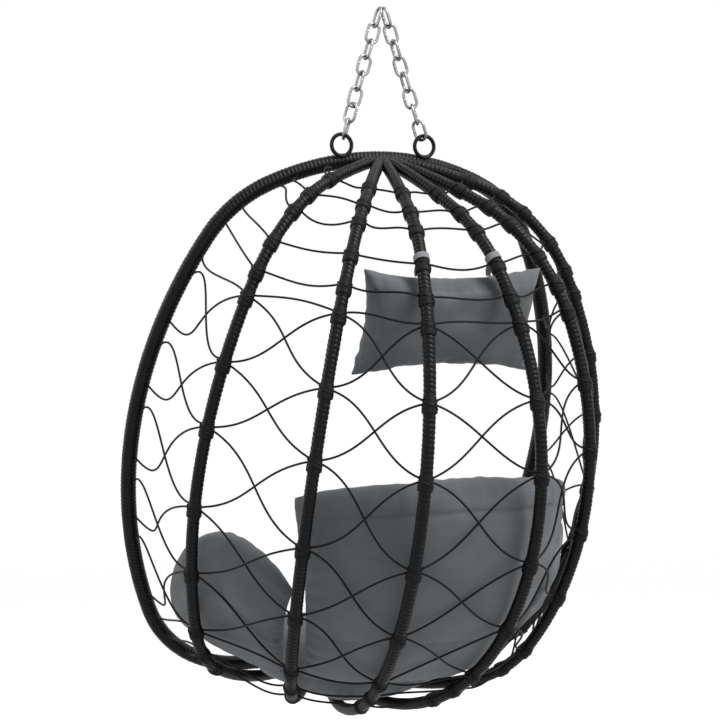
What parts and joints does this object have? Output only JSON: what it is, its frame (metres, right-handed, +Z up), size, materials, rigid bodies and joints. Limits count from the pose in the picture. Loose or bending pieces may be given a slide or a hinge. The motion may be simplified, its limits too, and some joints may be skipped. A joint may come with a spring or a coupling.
{
  "type": "hanging egg chair",
  "caption": "Egg-shaped laced basket seat on short paired chains, with padded seat, back and arms and a strapped head pillow.",
  "frame": {"origin": "the hang point, where a hook bears inside the two top links", "axes": "+Z up, through the hang point; the open front faces -Y and the laced back +Y; X = 0 is the plane of symmetry"},
  "size_m": [0.9146, 0.8004, 1.3548],
  "materials": {
    "zinc_chain": "bright zinc plating",
    "black_steel": "satin powder coat",
    "black_cane": "satin extruded cane, wound in tight turns",
    "black_cord": "smooth round cord",
    "grey_cloth": "plain-woven polyester over soft filling",
    "grey_webbing": "woven tape"
  },
  "bodies": {
    "top_links": {"link_left_1": "zinc_chain", "link_right_1": "zinc_chain"},
    "chain_links": {"link_left_2": "zinc_chain", "link_left_3": "zinc_chain", "link_left_4": "zinc_chain", "link_left_5": "zinc_chain", "link_left_6": "zinc_chain", "link_left_7": "zinc_chain", "link_left_8": "zinc_chain", "link_right_2": "zinc_chain", "link_right_3": "zinc_chain", "link_right_4": "zinc_chain", "link_right_5": "zinc_chain", "link_right_6": "zinc_chain", "link_right_7": "zinc_chain", "link_right_8": "zinc_chain"},
    "basket": {"front_ring_tube": "black_steel", "front_ring_wrap": "black_cane", "rib_1_tube": "black_steel", "rib_2_tube": "black_steel", "rib_3_tube": "black_steel", "rib_4_tube": "black_steel", "rib_5_tube": "black_steel", "rib_6_tube": "black_steel", "rib_1_wrap": "black_cane", "rib_2_wrap": "black_cane", "rib_3_wrap": "black_cane", "rib_4_wrap": "black_cane", "rib_5_wrap": "black_cane", "rib_6_wrap": "black_cane", "rib_1_knots": "black_cord", "rib_2_knots": "black_cord", "rib_3_knots": "black_cord", "rib_4_knots": "black_cord", "rib_5_knots": "black_cord", "rib_6_knots": "black_cord", "lacing_bay_1": "black_cord", "lacing_bay_2": "black_cord", "lacing_bay_3": "black_cord", "lacing_bay_4": "black_cord", "lacing_bay_5": "black_cord", "lacing_bay_6": "black_cord", "lacing_bay_7": "black_cord", "eye_left": "black_steel", "eye_right": "black_steel", "seat_pad": "grey_cloth", "back_pad": "grey_cloth", "arm_pad_left": "grey_cloth", "arm_pad_right": "grey_cloth", "head_pillow": "grey_cloth", "pillow_strap_left": "grey_webbing", "pillow_strap_right": "grey_webbing"}
  },
  "joints": [
    {"name": "chain_swing", "type": "hinge", "parent": "top_links", "child": "chain_links", "pos_m": [0, 0, -0.02735], "axis": [1, 0, 0], "range_deg": [-20, 20]},
    {"name": "basket_swing", "type": "hinge", "parent": "chain_links", "child": "basket", "pos_m": [0, 0, -0.23695], "axis": [1, 0, 0], "range_deg": [-20, 20]}
  ]
}
